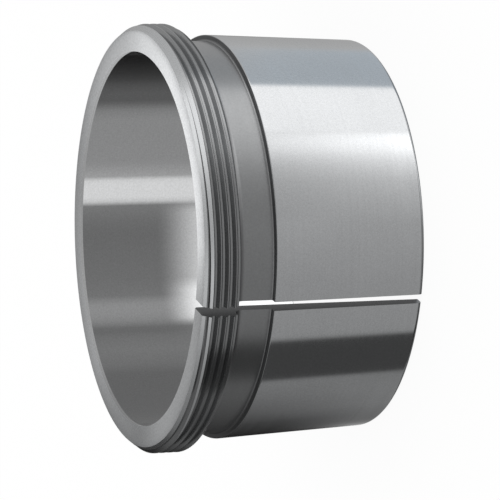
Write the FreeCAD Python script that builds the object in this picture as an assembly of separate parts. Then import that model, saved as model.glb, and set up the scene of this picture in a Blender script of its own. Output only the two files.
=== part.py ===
import FreeCAD, Part
import math
import os

# Withdrawal sleeve for a bearing with a tapered bore, turned from one piece of steel.
# The axis is Z. The small end stands on Z = 0 and the threaded end face looks up.
# The slit that lets the sleeve close on its shaft runs along the -Y side.

# Bore and overall length
bore_diameter = 95.0
sleeve_length = 59.0
bore_edge_break = 0.5

# Walls around the bore: out to the thread's crests, in the relief groove, at the small end
collar_wall = 7.5
relief_wall = 3.0
small_end_wall = 2.9

# Metric thread on the collar, which takes the withdrawal nut
thread_pitch = 2.0
thread_angle = 60.0
thread_start_angle = 83.0
full_thread_length = 8.1
lead_chamfer_depth = 1.6
lead_chamfer_length = 2.0
runout_chamfer = 1.0

# Relief groove between the thread and the tapered seat
relief_width = 9.7
collar_corner_bevel = 1.5
shoulder_corner_radius = 1.0

# Tapered seat, 1 in 12 on the diameter
seat_taper = 1.0 / 12.0
shoulder_chamfer = 0.5
small_end_chamfer = 1.0

# Slit through the whole wall
slit_width = 2.3

# Radii and heights that follow from the sizes above
bore_radius = bore_diameter / 2
thread_radius = bore_radius + collar_wall
relief_radius = bore_radius + relief_wall
collar_bottom = sleeve_length - full_thread_length - runout_chamfer
shoulder_height = collar_bottom - relief_width
seat_small_radius = bore_radius + small_end_wall

# Thread form: flat crests an eighth and flat roots a quarter of the pitch wide
root_flat = thread_pitch / 4
crest_flat = thread_pitch / 8
flank_slope = math.tan(math.radians(thread_angle / 2))
thread_depth = (thread_pitch - root_flat - crest_flat) / 2 / flank_slope
root_radius = thread_radius - thread_depth

# How far cutting shapes pass beyond the metal that they remove
cutter_overshoot = crest_flat / 2
axis_point = FreeCAD.Vector(0, 0, 0)
axis_direction = FreeCAD.Vector(0, 0, 1)


def point(radius, height):
    """A point of the half section, in the XZ plane."""
    return FreeCAD.Vector(radius, 0, height)


def seat_radius(height):
    """The radius of the tapered seat at a height above the small end."""
    return seat_small_radius + height * seat_taper / 2


def shoulder_corner():
    """The round from the floor of the relief groove to the shoulder, in two equal arcs."""
    radius = shoulder_corner_radius
    centre = point(relief_radius + radius, shoulder_height + radius)
    angles = [math.radians(degrees) for degrees in (180, 202.5, 225, 247.5, 270)]
    ends = [centre + point(math.cos(a), math.sin(a)) * radius for a in angles]
    return [Part.Arc(*ends[:3]).toShape(), Part.Arc(*ends[2:]).toShape()]


def turned_outline():
    """The closed half section, with the collar left slightly proud of the thread crests."""
    proud = cutter_overshoot
    lead_slope = lead_chamfer_length / lead_chamfer_depth
    lead_bottom = sleeve_length - (lead_chamfer_depth + proud) * lead_slope
    seat_top = shoulder_height - shoulder_chamfer
    straight_sides = Part.makePolygon([
        point(relief_radius + shoulder_corner_radius, shoulder_height),
        point(seat_radius(seat_top) - shoulder_chamfer, shoulder_height),
        point(seat_radius(seat_top), seat_top),
        point(seat_radius(small_end_chamfer), small_end_chamfer),
        point(seat_small_radius - small_end_chamfer, 0),
        point(bore_radius + bore_edge_break, 0),
        point(bore_radius, bore_edge_break),
        point(bore_radius, sleeve_length - bore_edge_break),
        point(bore_radius + bore_edge_break, sleeve_length),
        point(thread_radius - lead_chamfer_depth, sleeve_length),
        point(thread_radius + proud, lead_bottom),
        point(thread_radius + proud, collar_bottom + runout_chamfer + proud),
        point(thread_radius - runout_chamfer, collar_bottom),
        point(relief_radius + collar_corner_bevel, collar_bottom),
        point(relief_radius, collar_bottom - collar_corner_bevel),
        point(relief_radius, shoulder_height + shoulder_corner_radius),
    ])
    return Part.Wire(straight_sides.Edges + shoulder_corner())


def turned_body():
    """Everything that the lathe leaves round the axis."""
    body = Part.Face(turned_outline()).revolve(axis_point, axis_direction, 360)
    body.rotate(axis_point, axis_direction, -90)
    return body


def thread_groove():
    """A right-hand helical bar with the form of the space between two thread crests."""
    top = sleeve_length + thread_pitch
    bottom = collar_bottom - thread_pitch
    outer_radius = thread_radius + cutter_overshoot
    half_outer = root_flat / 2 + (outer_radius - root_radius) * flank_slope
    form = Part.makePolygon([
        point(root_radius, -root_flat / 2),
        point(outer_radius, -half_outer),
        point(outer_radius, half_outer),
        point(root_radius, root_flat / 2),
        point(root_radius, -root_flat / 2),
    ])
    path = Part.makeHelix(thread_pitch, top - bottom, thread_radius)
    sweep = Part.BRepOffsetAPI.MakePipeShell(path)
    sweep.setFrenetMode(True)
    sweep.add(form)
    sweep.build()
    sweep.makeSolid()
    groove = sweep.shape()
    turns_below_face = (sleeve_length - bottom) / thread_pitch
    groove.rotate(axis_point, axis_direction, thread_start_angle - 360 * turns_below_face)
    groove.translate(FreeCAD.Vector(0, 0, bottom))
    return groove


def threaded_bar():
    """Bar stock that carries the thread and is longer than the sleeve at both ends."""
    start = FreeCAD.Vector(0, 0, -thread_radius)
    bar = Part.makeCylinder(thread_radius, sleeve_length + 2 * thread_radius, start)
    bar.rotate(axis_point, axis_direction, -90)
    return bar.cut(thread_groove())


def slit_slab():
    """A slab that opens the wall on the -Y side from end to end."""
    corner = FreeCAD.Vector(-slit_width / 2, -2 * thread_radius, -sleeve_length)
    return Part.makeBox(slit_width, 2 * thread_radius, 3 * sleeve_length, corner)


def withdrawal_sleeve():
    """The finished sleeve: threaded, turned to its outline and slit."""
    return threaded_bar().common(turned_body()).cut(slit_slab())


os.makedirs("parts", exist_ok=True)
sleeve = withdrawal_sleeve()
sleeve.exportStep("parts/withdrawal_sleeve.step")
print("solids", len(sleeve.Solids), "volume", round(sleeve.Volume, 1), "valid", sleeve.isValid())
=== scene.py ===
import math

import bpy
from mathutils import Matrix, Vector


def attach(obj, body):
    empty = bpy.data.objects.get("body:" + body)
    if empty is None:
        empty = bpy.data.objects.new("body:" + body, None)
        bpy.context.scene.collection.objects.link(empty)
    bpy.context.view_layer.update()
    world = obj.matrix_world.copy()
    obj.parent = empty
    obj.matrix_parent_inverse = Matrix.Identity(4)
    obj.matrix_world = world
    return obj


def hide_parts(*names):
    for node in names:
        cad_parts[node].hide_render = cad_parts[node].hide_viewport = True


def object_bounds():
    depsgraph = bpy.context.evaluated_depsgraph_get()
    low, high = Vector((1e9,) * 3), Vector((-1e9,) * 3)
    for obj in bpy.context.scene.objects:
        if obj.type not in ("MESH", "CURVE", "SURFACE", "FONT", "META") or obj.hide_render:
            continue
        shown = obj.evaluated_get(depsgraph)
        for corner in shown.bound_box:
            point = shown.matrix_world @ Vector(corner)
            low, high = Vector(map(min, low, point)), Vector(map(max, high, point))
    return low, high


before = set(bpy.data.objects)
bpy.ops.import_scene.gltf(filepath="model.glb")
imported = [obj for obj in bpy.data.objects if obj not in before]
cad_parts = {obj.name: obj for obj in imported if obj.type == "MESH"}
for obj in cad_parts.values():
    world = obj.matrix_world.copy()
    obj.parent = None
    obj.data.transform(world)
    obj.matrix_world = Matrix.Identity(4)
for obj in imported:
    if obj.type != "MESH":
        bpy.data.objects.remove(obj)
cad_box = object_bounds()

# Sleeve
# The real sleeve is one piece of steel, turned on a lathe: bore, threaded collar, relief groove
# and a 1 in 12 seat, which is ground last. A thin cutter then opens the slit from end to end.
MM = 0.001
SMALL_END, THREADED_END = cad_box[0][2], cad_box[1][2]
BORE = 47.5 * MM
CREST = BORE + 7.5 * MM
RELIEF = BORE + 3.0 * MM
SEAT_SMALL_END = BORE + 2.9 * MM
SEAT_TAPER = 1 / 12
EDGE_BREAK, SMALL_END_BREAK = 0.5 * MM, 0.15 * MM
SMALL_END_ROUND = 1.0 * MM
LEAD_CHAMFER_DEPTH, LEAD_CHAMFER_LENGTH = 1.66 * MM, 2.08 * MM
RUNOUT_CHAMFER = 1.0 * MM
COLLAR_BOTTOM = THREADED_END - 9.1 * MM
COLLAR_ROUND = 2.2 * MM
SHOULDER = COLLAR_BOTTOM - 10.0 * MM
SHOULDER_ROUND = 0.5 * MM
SHOULDER_EDGE_ROUND = 0.25 * MM
HOLD = 0.1 * MM
PITCH = 2.0 * MM
ROOT_FLAT, CREST_FLAT = PITCH / 4, PITCH / 8
FLANK_SLOPE = math.tan(math.radians(30))
THREAD_DEPTH = (PITCH - ROOT_FLAT - CREST_FLAT) / 2 / FLANK_SLOPE
THREAD_START = math.radians(61)
SLIT = 2.3 * MM
SLIT_SIDE = math.radians(-90)

# The collar is turned SPARE too large, so that the threaded bar gives it its crests. Points closer
# than SAME_PLACE are welded, and edges that bend by less than SHARP_EDGE are shaded smooth.
SPARE = CREST_FLAT / 2
TOOL_REACH = 4 * SPARE
STEPS_ROUND = 360
SAME_PLACE = 0.0005 * MM
SHARP_EDGE = math.radians(20)


def seat_radius(height):
    """The radius of the ground seat at a height above the small end."""
    return SEAT_SMALL_END + (height - SMALL_END) * SEAT_TAPER / 2


def quarter_round(centre, radius, start, turn, steps=8):
    """Points of a round in the half section, from one direction at its centre to another."""
    angles = [math.radians(start + turn * i / steps) for i in range(steps + 1)]
    return [(centre[0] + radius * math.cos(a), centre[1] + radius * math.sin(a)) for a in angles]


def half_section():
    """The outline that the lathe leaves, with the collar slightly proud of the thread crests.

    Points HOLD away from the rounds keep the shading of the straight faces between them flat.
    """
    rim_height = SMALL_END + SMALL_END_ROUND
    rim_centre = (seat_radius(rim_height) - SMALL_END_ROUND, rim_height)
    shoulder_centre = (RELIEF + SHOULDER_ROUND, SHOULDER + SHOULDER_ROUND)
    collar_centre = (RELIEF + COLLAR_ROUND, COLLAR_BOTTOM - COLLAR_ROUND)
    seat_top = SHOULDER - SHOULDER_EDGE_ROUND
    edge_centre = (seat_radius(seat_top) - SHOULDER_EDGE_ROUND, seat_top)
    lead_slope = LEAD_CHAMFER_LENGTH / LEAD_CHAMFER_DEPTH
    points = [(BORE, SMALL_END + SMALL_END_BREAK), (BORE + SMALL_END_BREAK, SMALL_END)]
    points += quarter_round(rim_centre, SMALL_END_ROUND, -90, 90)
    points += [(seat_radius(height), height) for height in (rim_height + HOLD, seat_top - HOLD)]
    points += quarter_round(edge_centre, SHOULDER_EDGE_ROUND, 0, 90)
    points += quarter_round(shoulder_centre, SHOULDER_ROUND, 270, -90)
    points += [(RELIEF, shoulder_centre[1] + HOLD), (RELIEF, collar_centre[1] - HOLD)]
    points += quarter_round(collar_centre, COLLAR_ROUND, 180, -90)
    points += [(CREST - RUNOUT_CHAMFER, COLLAR_BOTTOM)]
    points += [(CREST + SPARE, COLLAR_BOTTOM + RUNOUT_CHAMFER + SPARE)]
    points += [(CREST + SPARE, THREADED_END - (LEAD_CHAMFER_DEPTH + SPARE) * lead_slope)]
    points += [(CREST - LEAD_CHAMFER_DEPTH, THREADED_END)]
    return points + [(BORE + EDGE_BREAK, THREADED_END), (BORE, THREADED_END - EDGE_BREAK)]


def upright(radius, height, turn):
    """A point of the half section as it stands at an angle round the axis."""
    return Vector((radius * math.cos(turn), radius * math.sin(turn), height))


def draw_outline(name, section, turn):
    """A primitive brought down to one point, then drawn out edge by edge round a half section."""
    places = [upright(radius, height, turn) for radius, height in section]
    bpy.ops.object.select_all(action="DESELECT")
    bpy.ops.mesh.primitive_plane_add(size=MM, location=(0, 0, 0))
    made = bpy.context.object
    made.name = made.data.name = name
    bpy.ops.object.mode_set(mode="EDIT")
    bpy.ops.mesh.select_mode(type="VERT")
    bpy.ops.mesh.select_all(action="SELECT")
    bpy.ops.mesh.merge(type="CENTER")
    bpy.ops.transform.translate(value=places[0])
    for here, there in zip(places, places[1:] + places[:1]):
        bpy.ops.mesh.extrude_region_move(TRANSFORM_OT_translate={"value": there - here})
    bpy.ops.mesh.select_all(action="SELECT")
    bpy.ops.mesh.remove_doubles(threshold=SAME_PLACE)
    return made


def turn_on_lathe(name, section):
    """An outline spun once round the axis, with its seam welded and its faces outwards."""
    made = draw_outline(name, section, SLIT_SIDE)
    bpy.ops.mesh.spin(steps=STEPS_ROUND, angle=math.tau, center=(0, 0, 0), axis=(0, 0, 1))
    bpy.ops.mesh.select_all(action="SELECT")
    bpy.ops.mesh.remove_doubles(threshold=SAME_PLACE)
    bpy.ops.mesh.normals_make_consistent(inside=False)
    bpy.ops.object.mode_set(mode="OBJECT")
    return made


def apply_modifier(mesh_object, kind, **settings):
    """Gives an object one modifier with its settings, and applies it."""
    bpy.ops.object.select_all(action="DESELECT")
    bpy.context.view_layer.objects.active = mesh_object
    mesh_object.select_set(True)
    modifier = mesh_object.modifiers.new(kind.title(), kind)
    for setting, value in settings.items():
        setattr(modifier, setting, value)
    bpy.ops.object.modifier_apply(modifier=modifier.name)


def thread_tool():
    """A right-hand helical bar with the form of the space between two crests."""
    turns = math.ceil((THREADED_END - COLLAR_BOTTOM) / PITCH) + 3
    lowest = COLLAR_BOTTOM - PITCH
    root, outer = CREST - THREAD_DEPTH, CREST + TOOL_REACH
    half_root = ROOT_FLAT / 2
    half_outer = half_root + (outer - root) * FLANK_SLOPE
    form = [(root, -half_root), (outer, -half_outer), (outer, half_outer), (root, half_root)]
    section = [(radius, height + lowest) for radius, height in form]
    start = THREAD_START - math.tau * (THREADED_END - lowest) / PITCH
    made = draw_outline("thread_tool", section, start)
    bpy.ops.object.mode_set(mode="OBJECT")
    apply_modifier(made, "SCREW", angle=math.tau, screw_offset=PITCH, iterations=turns,
                   steps=STEPS_ROUND, render_steps=STEPS_ROUND)
    bpy.ops.object.mode_set(mode="EDIT")
    bpy.ops.mesh.select_all(action="SELECT")
    bpy.ops.mesh.remove_doubles(threshold=SAME_PLACE)
    bpy.ops.mesh.select_all(action="DESELECT")
    bpy.ops.mesh.select_non_manifold()
    bpy.ops.mesh.edge_face_add()
    bpy.ops.mesh.select_all(action="SELECT")
    bpy.ops.mesh.normals_make_consistent(inside=False)
    bpy.ops.object.mode_set(mode="OBJECT")
    return made


def slit_tool():
    """The slab of metal that the slitting cutter takes out of the wall."""
    bpy.ops.object.select_all(action="DESELECT")
    bpy.ops.mesh.primitive_cube_add(size=1, location=(0, -CREST, THREADED_END / 2))
    made = bpy.context.object
    made.scale = (SLIT, CREST, 2 * THREADED_END)
    bpy.ops.object.transform_apply(location=True, rotation=True, scale=True)
    return made


def cut(mesh_object, tool, operation="DIFFERENCE"):
    """Cuts one solid by another and takes the tool's shape out of the scene."""
    apply_modifier(mesh_object, "BOOLEAN", object=tool, operation=operation, solver="EXACT")
    bpy.data.objects.remove(tool, do_unlink=True)


def threaded_bar():
    """Hollow bar stock, longer than the sleeve at both ends, with the thread cut in it."""
    inner, lower, upper = BORE - MM, SMALL_END - MM, THREADED_END + MM
    bar = turn_on_lathe("bar", [(inner, lower), (CREST, lower), (CREST, upper), (inner, upper)])
    cut(bar, thread_tool())
    return bar


sleeve = turn_on_lathe("sleeve_body", half_section())
cut(sleeve, threaded_bar(), "INTERSECT")
cut(sleeve, slit_tool())
bpy.ops.object.select_all(action="DESELECT")
bpy.context.view_layer.objects.active = sleeve
sleeve.select_set(True)
bpy.ops.object.mode_set(mode="EDIT")
bpy.ops.mesh.select_all(action="SELECT")
bpy.ops.mesh.remove_doubles(threshold=SAME_PLACE)
bpy.ops.object.mode_set(mode="OBJECT")
bpy.ops.object.shade_smooth_by_angle(angle=SHARP_EDGE)


class Wire:
    """A shader socket that takes part in sums as a number does."""

    def __init__(self, tree, socket=None):
        self.tree = tree
        self.socket = socket

    def node(self, kind, settings, inputs, output=0):
        """Adds a node, makes its settings, then fills its sockets with values or wires."""
        made = self.tree.nodes.new(kind)
        for setting, value in settings.items():
            if setting == "stops":
                while len(made.color_ramp.elements) < len(value):
                    made.color_ramp.elements.new(1)
                for element, (place, level) in zip(made.color_ramp.elements, value):
                    element.position = place
                    element.color = (level, level, level, 1)
            else:
                setattr(made, setting, value)
        for name, value in inputs.items():
            if isinstance(value, Wire):
                self.tree.links.new(value.socket, made.inputs[name])
            else:
                made.inputs[name].default_value = value
        return Wire(self.tree, made.outputs[output] if made.outputs else None)

    def sum(self, operation, *values):
        """One Math node on wires and numbers."""
        return self.node("ShaderNodeMath", {"operation": operation}, dict(enumerate(values)))

    def __add__(self, other):
        return self.sum("ADD", self, other)

    def __sub__(self, other):
        return self.sum("SUBTRACT", self, other)

    def __rsub__(self, other):
        return self.sum("SUBTRACT", other, self)

    def __mul__(self, other):
        return self.sum("MULTIPLY", self, other)

    def __truediv__(self, other):
        return self.sum("DIVIDE", self, other)

    __radd__ = __add__
    __rmul__ = __mul__


def new_wiring(owner):
    """An emptied node tree for a material or the world, as the start of its wires."""
    owner.use_nodes = True
    owner.node_tree.nodes.clear()
    return Wire(owner.node_tree)


def clamp(value):
    """A wire kept between 0 and 1."""
    return value.node("ShaderNodeClamp", {}, {"Value": value})


def noise(base, place, scale, detail, roughness):
    """Noise from 0 to 1, whose scale is a number of grains in a metre."""
    return base.node("ShaderNodeTexNoise", {}, {
        "Vector": place, "Scale": scale, "Detail": detail, "Roughness": roughness,
    })


# Every finish has lines that run round the axis, broad stains and a fine grain. All three change
# its tone. The lines and the stains change its roughness too, and the lines and the grain its height.
LINES_ACROSS, LINE_TONE, LINE_ROUGHNESS = 14.0, 0.03, 0.10
STAIN_SCALE, STAIN_TONE, STAIN_ROUGHNESS = 45.0, 0.06, 0.08
GRAIN_SCALE, GRAIN_DEPTH = 2200.0, 0.0006 * MM
ROUND_THE_AXIS = 0.25


def steel(name, tint, roughness, anisotropy, line_pitch, line_depth, speckle):
    """Bare steel with the marks of the tool that finished it, in lines round the axis."""
    material = bpy.data.materials.new(name)
    base = new_wiring(material)
    place = base.node("ShaderNodeTexCoord", {}, {}, "Object")
    stretch = (LINES_ACROSS, LINES_ACROSS, 1 / line_pitch)
    stretched = base.node("ShaderNodeMapping", {}, {"Vector": place, "Scale": stretch})
    lines = noise(base, stretched, scale=1.0, detail=3.0, roughness=0.6)
    broad = noise(base, place, scale=STAIN_SCALE, detail=4.0, roughness=0.55)
    grain = noise(base, place, scale=GRAIN_SCALE, detail=2.0, roughness=0.8)
    shade = 1 - STAIN_TONE * (broad * 2 - 1) - LINE_TONE * (lines * 2 - 1)
    shade = shade - speckle * (grain * 2 - 1)
    colour = base.node("ShaderNodeVectorMath", {"operation": "SCALE"}, {0: tint, "Scale": shade})
    rough = clamp(roughness + LINE_ROUGHNESS * (lines - 0.5) + STAIN_ROUGHNESS * (broad - 0.5))
    height = lines * line_depth + grain * (speckle * GRAIN_DEPTH)
    normal = base.node("ShaderNodeBump", {}, {"Height": height, "Strength": 1.0, "Distance": 1.0})
    surface = base.node("ShaderNodeBsdfPrincipled", {}, {
        "Base Color": colour, "Metallic": 1.0, "Roughness": rough, "Normal": normal,
        "Anisotropic": anisotropy, "Anisotropic Rotation": ROUND_THE_AXIS,
    })
    base.node("ShaderNodeOutputMaterial", {}, {"Surface": surface})
    return material


# Each finish has a tint, a roughness, a stretch of its gloss along the lines, the pitch and depth
# of the lines, and the strength of its fine grain. They stand in the order of their numbers.
SEAT, TURNED, FACED, BORED, SLITTED, LEAD, THREADED, SHADED_SHOULDER = range(8)
for finish in (
    steel("ground_seat_steel", (0.60, 0.61, 0.62), 0.12, 0.6, 0.5 * MM, 0.0004 * MM, 0.18),
    steel("turned_groove_steel", (0.35, 0.355, 0.36), 0.30, 0.5, 0.4 * MM, 0.0006 * MM, 0.20),
    steel("faced_end_steel", (0.60, 0.61, 0.62), 0.30, 0.0, 0.4 * MM, 0.0, 0.45),
    steel("finished_bore_steel", (0.58, 0.585, 0.59), 0.16, 0.4, 0.5 * MM, 0.0002 * MM, 0.18),
    steel("milled_slit_steel", (0.28, 0.285, 0.29), 0.38, 0.0, 0.3 * MM, 0.0006 * MM, 0.15),
    steel("lead_chamfer_steel", (0.60, 0.61, 0.62), 0.26, 0.3, 0.2 * MM, 0.0003 * MM, 0.10),
    steel("cut_thread_steel", (0.33, 0.335, 0.34), 0.22, 0.5, 0.4 * MM, 0.0004 * MM, 0.15),
    # Painted shade: the shoulder's face is the same steel as the groove, tinted darker where it lies
    # in shade under the collar.
    steel("shoulder_painted_shade_steel", (0.17, 0.172, 0.175), 0.30, 0.3, 0.3 * MM, 0.0004 * MM, 0.15),
):
    sleeve.data.materials.append(finish)


# What tells the faces apart: parts of a normal that are square to an axis or look up, the radius
# that the bore's finish reaches, and the range of the lead chamfer's upward part.
SQUARE_ON = 0.99
LOOKS_UP = 0.5
INNER_EDGE = BORE + EDGE_BREAK * 0.9
LEAD_LEAN = (0.5, 0.75)


def finish_of(centre, normal):
    """The number of the finish that a face of the sleeve has, from where it lies."""
    radius = math.hypot(centre.x, centre.y)
    across_slit = abs(normal.x) > SQUARE_ON and centre.y < 0 and abs(centre.x) < SLIT
    if across_slit:
        return SLITTED
    if normal.z > SQUARE_ON and centre.z > THREADED_END - SAME_PLACE:
        return FACED
    if radius < INNER_EDGE and centre.z > SMALL_END + SAME_PLACE:
        return BORED
    # The shoulder's upward face takes the darker tint, as painted shade.
    if abs(centre.z - SHOULDER) < SHOULDER_EDGE_ROUND and normal.z > LOOKS_UP:
        return SHADED_SHOULDER
    if centre.z < SHOULDER:
        return SEAT
    if centre.z > THREADED_END - LEAD_CHAMFER_LENGTH and LEAD_LEAN[0] < normal.z < LEAD_LEAN[1]:
        return LEAD
    return THREADED if centre.z > COLLAR_BOTTOM + SAME_PLACE else TURNED


for face in sleeve.data.polygons:
    face.material_index = finish_of(face.center, face.normal)

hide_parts("withdrawal_sleeve")
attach(sleeve, "root")

# Ground
# A plain pale sheet that the sleeve stands on. It takes the sleeve's soft shadow and is left out
# of mirror reflections, as a clear glass table over the lights would be.
GROUND_HALF = 3.0
GROUND_GAP = 0.01 * MM
SHADOW_SHARE = 0.08
PALE = (0.98, 0.98, 0.98, 1)
bpy.ops.object.select_all(action="DESELECT")
bpy.ops.mesh.primitive_plane_add(size=2 * GROUND_HALF, location=(0, 0, SMALL_END - GROUND_GAP))
ground = bpy.context.object
ground.name = "ground"
bpy.ops.object.transform_apply(location=True, rotation=True, scale=True)
ground.visible_glossy = False


def pale_sheet():
    """White to the camera, less the share of it that the sleeve's shadow may darken."""
    material = bpy.data.materials.new("pale_ground")
    base = new_wiring(material)
    rays = [base.node("ShaderNodeLightPath", {}, {}, name) for name in
            ("Is Camera Ray", "Is Glossy Ray", "Is Transmission Ray")]
    seen = clamp(rays[0] + rays[1] + rays[2]) * (1 - SHADOW_SHARE)
    lit = base.node("ShaderNodeBsdfDiffuse", {}, {"Color": PALE})
    white = base.node("ShaderNodeEmission", {}, {"Color": (1, 1, 1, 1), "Strength": 1.0})
    mixed = base.node("ShaderNodeMixShader", {}, {0: seen, 1: lit, 2: white})
    base.node("ShaderNodeOutputMaterial", {}, {"Surface": mixed})
    return material


ground.data.materials.append(pale_sheet())

# Camera
# It looks at the threaded face from its side, with the sleeve's axis level in the picture. The
# values are the picture's size, the end face's place and the collar's radius in it, all in
# pixels, the collar's radius over the camera's distance, and the turn and tilt of the view.
PICTURE_MIDDLE = 250.0
PICTURE_WIDTH = 500.0
FACE_PLACE = (135.997, 238.987)
PIXELS_PER_COLLAR = 214.675
NEARNESS = 0.0621
SIDE_TURN, TILT = 1.2225, -0.0298
RIGHT_OF_SLIT = math.radians(20)
SENSOR = 36.0
FARTHEST = 20.0


def camera_axes():
    """The camera's right, down and forward directions, among the sleeve's own axes."""
    level_share = math.cos(TILT)
    into = Vector((math.sin(SIDE_TURN) * level_share, math.sin(TILT),
                   math.cos(SIDE_TURN) * level_share))
    up = into.cross(Vector((0, 0, 1))).normalized()
    near = into.cross(up)
    axis = Vector((0, 0, -1))
    top = Vector((math.cos(RIGHT_OF_SLIT), math.sin(RIGHT_OF_SLIT), 0))
    front = Vector((math.sin(RIGHT_OF_SLIT), -math.cos(RIGHT_OF_SLIT), 0))
    return [axis * into[i] + top * up[i] + front * near[i] for i in range(3)]


right, down, forward = camera_axes()
face_offset = Vector(((FACE_PLACE[0] - PICTURE_MIDDLE) / PIXELS_PER_COLLAR,
                      (FACE_PLACE[1] - PICTURE_MIDDLE) / PIXELS_PER_COLLAR, 1 / NEARNESS)) * CREST
face_from_camera = right * face_offset.x + down * face_offset.y + forward * face_offset.z
stand = Vector((0, 0, THREADED_END)) - face_from_camera
turned_to_face = Matrix((right, -down, -forward)).transposed().to_4x4()
bpy.ops.object.camera_add(location=stand)
camera = bpy.context.object
camera.matrix_world = Matrix.Translation(stand) @ turned_to_face
camera.data.sensor_width = SENSOR
camera.data.lens = PIXELS_PER_COLLAR / NEARNESS / PICTURE_WIDTH * SENSOR
camera.data.clip_end = FARTHEST
bpy.context.scene.camera = camera

# Light
# The sleeve stands in a ring of soft panels, brighter and darker by their bearing round it. A
# light tube in its bore and a pale disc close over its end face show in their reflections only.
# Bearings are in degrees. On the panels they count from the side that the photo is taken from.
PHOTO_BEARING = -70
PANELS = [
    (-180, 0.20), (-165, 0.074), (-149, 0.089), (-140, 0.112), (-132, 0.143), (-124, 0.178),
    (-107, 0.24), (-93.3, 0.27), (-91.4, 0.068), (-64.6, 0.068), (-62.6, 0.37), (-28, 0.42),
    (-12, 0.46), (5, 0.51), (13, 0.54), (21, 0.59), (30, 0.67), (38, 0.83), (42, 0.96),
    (46, 1.13), (50, 1.35), (55, 1.52), (60, 1.48), (61.5, 1.38), (94.8, 1.38), (96.6, 0.61),
    (136, 0.60), (146, 0.53), (165, 0.42), (180, 0.20),
]

# The seat mirrors the panels at a height that changes a little with how far they face the photo's
# side, and over a small span from its shoulder to its small end. Across that span a panel's light
# changes by the fade's power, and the lowest panels dip in the middle of it.
SEAT_SIGHT, SEAT_SIGHT_SPAN = (-0.4162, -0.0479, 0.0200), 0.0348
PANEL_FADES = [
    (-180, 2.6), (-170, 5.0), (-161, 4.0), (-157, 2.8), (-149, 2.2), (-140, 1.95), (-132, 1.75),
    (-124, 1.65), (-115, 1.43), (-105, 1.19), (-95, 1.0), (5, 1.0), (13, 1.21), (21, 1.33),
    (30, 1.43), (38, 1.56), (50, 1.57), (56, 1.50), (60, 1.42), (61.5, 1.0), (165, 1.0),
    (180, 2.0),
]
UNDER_PANEL = [
    (-180, 0.0), (-174, 1.0), (-138, 1.0), (-132, 0.6), (-124, 0.3), (-115, 0.15), (-105, 0.0),
    (180, 0.0),
]
UNDER_DEPTH = 0.65

# Heights are sines of the angle over the horizon. The panels end below and above, a dimmer belt
# crosses them in front, and others hang over them from HIGH_FROM up.
PANEL_HEIGHTS = [
    (-1, 0.5), (-0.62, 0.5), (-0.5, 1.0), (0.86, 1.0), (0.89, 0.7), (0.94, 0.12), (1, 0.10),
]
DIM_BELT = [(-1, 0.0), (-0.22, 0.0), (0.02, 0.45), (0.5, 0.45), (0.8, 0.0), (1, 0.0)]
BELT_RISE = 2.5
HIGH_PANELS = [
    (-180, 0.20), (-122, 0.25), (-91, 0.31), (-72, 0.52), (-45, 0.76), (-27, 0.88), (0, 0.66),
    (27, 0.72), (45, 0.93), (60, 1.30), (94.4, 1.38), (96.2, 0.61), (146, 0.60), (165, 0.45),
    (180, 0.20),
]
HIGH_FROM, HIGH_RISE = 0.2, 6

# One panel is slightly blue, as high as the seat mirrors it.
BLUE_PANEL = [(-180, 0.0), (95.2, 0.0), (96.6, 1.0), (134, 1.0), (142, 0.0), (180, 0.0)]
BLUE = (0.91, 1.0, 1.084, 1)
BLUE_BELOW, BLUE_RISE = -0.36, 40


def by_bearing(base, direction, zero, clockwise, bands):
    """Light that changes with bearing round the axis, from a list of bearings and levels.

    Bearings count from zero, in degrees, and clockwise where that is asked.
    """
    lowest = bands[0][0]
    span = bands[-1][0] - lowest
    top = max(strength for bearing, strength in bands)
    turned = base.node("ShaderNodeVectorRotate", {"rotation_type": "Z_AXIS"},
                       {"Vector": direction, "Angle": -math.radians(zero)})
    ahead = base.node("ShaderNodeSeparateXYZ", {}, {0: turned}, "X")
    aside = base.node("ShaderNodeSeparateXYZ", {}, {0: turned}, "Y")
    place = base.sum("ARCTAN2", aside * (-1.0 if clockwise else 1.0), ahead) / math.tau
    fraction = base.sum("FRACT", place - lowest / 360 + 1.0) * (360 / span)
    stops = [((bearing - lowest) / span, strength / top) for bearing, strength in bands]
    return base.node("ShaderNodeValToRGB", {"stops": stops}, {"Fac": fraction}) * top


world = bpy.context.scene.world or bpy.data.worlds.new("studio")
bpy.context.scene.world = world
world.name = "studio"
air = new_wiring(world)
ray = air.node("ShaderNodeTexCoord", {}, {}, "Generated")
level = air.node("ShaderNodeSeparateXYZ", {}, {0: ray}, "Z")
to_photo = air.node("ShaderNodeVectorRotate", {"rotation_type": "Z_AXIS"},
                    {"Vector": ray, "Angle": -math.radians(PHOTO_BEARING)})
facing = air.node("ShaderNodeSeparateXYZ", {}, {0: to_photo}, "X")


def round_about(bands):
    """Light of the panels that changes with bearing."""
    return by_bearing(air, ray, PHOTO_BEARING, False, bands)


def up_and_down(stops):
    """Light of the panels that changes with height."""
    places = [(sine / 2 + 0.5, share) for sine, share in stops]
    return air.node("ShaderNodeValToRGB", {"stops": places}, {"Fac": level / 2 + 0.5})


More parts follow.
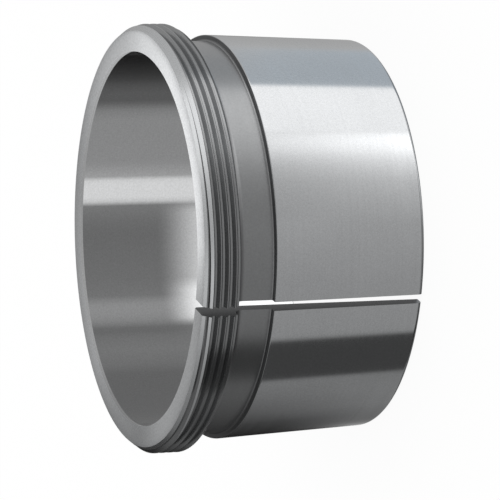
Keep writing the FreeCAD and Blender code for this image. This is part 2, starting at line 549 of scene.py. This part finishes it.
seat_sight = SEAT_SIGHT[0] + SEAT_SIGHT[1] * facing + SEAT_SIGHT[2] * facing * facing
below = clamp((seat_sight - level) / SEAT_SIGHT_SPAN + 0.5) * 2 - 1
fade = air.sum("POWER", round_about(PANEL_FADES), below)
dip = round_about(UNDER_PANEL) * (1 - below * below) * UNDER_DEPTH
high = clamp((level - HIGH_FROM) * HIGH_RISE)
ring = (1 - high) * round_about(PANELS) * fade * (1 - dip) + high * round_about(HIGH_PANELS)
belt = up_and_down(DIM_BELT) * clamp(facing * BELT_RISE)
strength = ring * up_and_down(PANEL_HEIGHTS) * (1 - belt)
mirrored = air.node("ShaderNodeLightPath", {}, {}, "Is Glossy Ray")
shown = mirrored * strength + (1 - mirrored)
blue_share = mirrored * clamp((BLUE_BELOW - level) * BLUE_RISE) * round_about(BLUE_PANEL)
tint = air.node("ShaderNodeMix", {"data_type": "RGBA"}, {0: blue_share, 6: (1, 1, 1, 1), 7: BLUE}, 2)
sky = air.node("ShaderNodeBackground", {}, {"Color": tint, "Strength": shown})
air.node("ShaderNodeOutputWorld", {}, {"Surface": sky})

# Bearings on the tube and the disc are clockwise from the top of the picture. Past DEEP_FROM
# under the end face the tube changes to its deep bands.
BORE_BANDS = [
    (180, 0.19), (212, 0.195), (222, 0.20), (226, 0.25), (232, 0.284), (237, 0.26),
    (240, 0.205), (242.5, 0.35), (244, 0.40), (247, 0.44), (249.5, 0.41), (251.5, 0.28),
    (257, 0.25), (272, 0.22), (276, 0.24), (281.5, 0.30), (283, 1.07), (289.5, 1.07),
    (291, 0.55), (296, 0.405), (312, 0.39), (316, 0.33), (320, 0.15), (324, 0.15), (328, 0.12),
    (332, 0.07), (336, 0.045), (344, 0.02), (350, 0.01), (390, 0.01), (430, 0.25), (540, 0.19),
]
DEEP_BORE_BANDS = [
    (180, 0.20), (207, 0.22), (214, 0.60), (222, 0.45), (230, 0.32), (238, 0.30), (241, 0.36),
    (243.5, 1.9), (253, 1.9), (257, 1.1), (279, 1.05), (281.5, 0.60), (283, 1.07),
    (289.5, 1.07), (291, 0.55), (296, 0.405), (312, 0.39), (316, 0.33), (320, 0.15),
    (328, 0.12), (332, 0.07), (336, 0.045), (344, 0.02), (350, 0.01), (390, 0.01), (430, 0.25),
    (540, 0.19),
]
FACE_BANDS = [
    (-180, 0.28), (-165, 0.335), (-150, 0.38), (-130, 0.55), (-105, 0.53), (-75, 0.475),
    (-60, 0.49), (-40, 0.60), (-30, 0.63), (-15, 0.66), (0, 0.745), (8, 0.93), (15, 1.07),
    (30, 1.18), (45, 1.24), (60, 1.28), (80, 1.27), (93, 1.10), (104, 0.72), (112, 0.46),
    (165, 0.46), (180, 0.28),
]

# The tube stands off the bore's wall by its gap. The disc floats over the end face by its gap and
# is shifted away from the side that the photo is taken from.
DEEP_FROM, DEEP_TO = 21 * MM, 38 * MM
TUBE_GAP = 0.3 * MM
DISC_GAP = 3.0 * MM
DISC_SHIFT = 8.0 * MM
DISC_SIDES = 96


def reflected_card(name, shape, bands, deep_bands=None):
    """A luminous card that only reflections show, lit by bearing from the top of the picture."""
    shape.name = name
    shape.visible_camera = shape.visible_diffuse = shape.visible_shadow = False
    shape.visible_transmission = shape.visible_volume_scatter = False
    material = bpy.data.materials.new(name)
    base = new_wiring(material)
    place = base.node("ShaderNodeTexCoord", {}, {}, "Object")
    glow = by_bearing(base, place, math.degrees(RIGHT_OF_SLIT), True, bands)
    if deep_bands:
        height = base.node("ShaderNodeSeparateXYZ", {}, {0: place}, "Z")
        depth = base.node("ShaderNodeMapRange", {"interpolation_type": "SMOOTHSTEP"},
                          {"Value": THREADED_END - height, "From Min": DEEP_FROM, "From Max": DEEP_TO,
                           "To Min": 0.0, "To Max": 1.0})
        deep_glow = by_bearing(base, place, math.degrees(RIGHT_OF_SLIT), True, deep_bands)
        glow = (1 - depth) * glow + depth * deep_glow
    lamp = base.node("ShaderNodeEmission", {}, {"Color": (1, 1, 1, 1), "Strength": glow})
    base.node("ShaderNodeOutputMaterial", {}, {"Surface": lamp})
    shape.data.materials.append(material)


bpy.ops.object.select_all(action="DESELECT")
bpy.ops.mesh.primitive_cylinder_add(
    vertices=STEPS_ROUND, radius=BORE - TUBE_GAP, depth=THREADED_END - SMALL_END,
    end_fill_type="NOTHING", location=(0, 0, (THREADED_END + SMALL_END) / 2))
bpy.ops.object.transform_apply(location=True, rotation=True, scale=True)
reflected_card("bore_light_tube", bpy.context.object, BORE_BANDS, DEEP_BORE_BANDS)
photo_side = upright(DISC_SHIFT, 0, math.radians(PHOTO_BEARING))
bpy.ops.object.select_all(action="DESELECT")
bpy.ops.mesh.primitive_circle_add(
    vertices=DISC_SIDES, radius=CREST - MM, fill_type="NGON",
    location=Vector((0, 0, THREADED_END + DISC_GAP)) - photo_side)
reflected_card("face_light_disc", bpy.context.object, FACE_BANDS)

bpy.context.scene.view_settings.view_transform = "Standard"
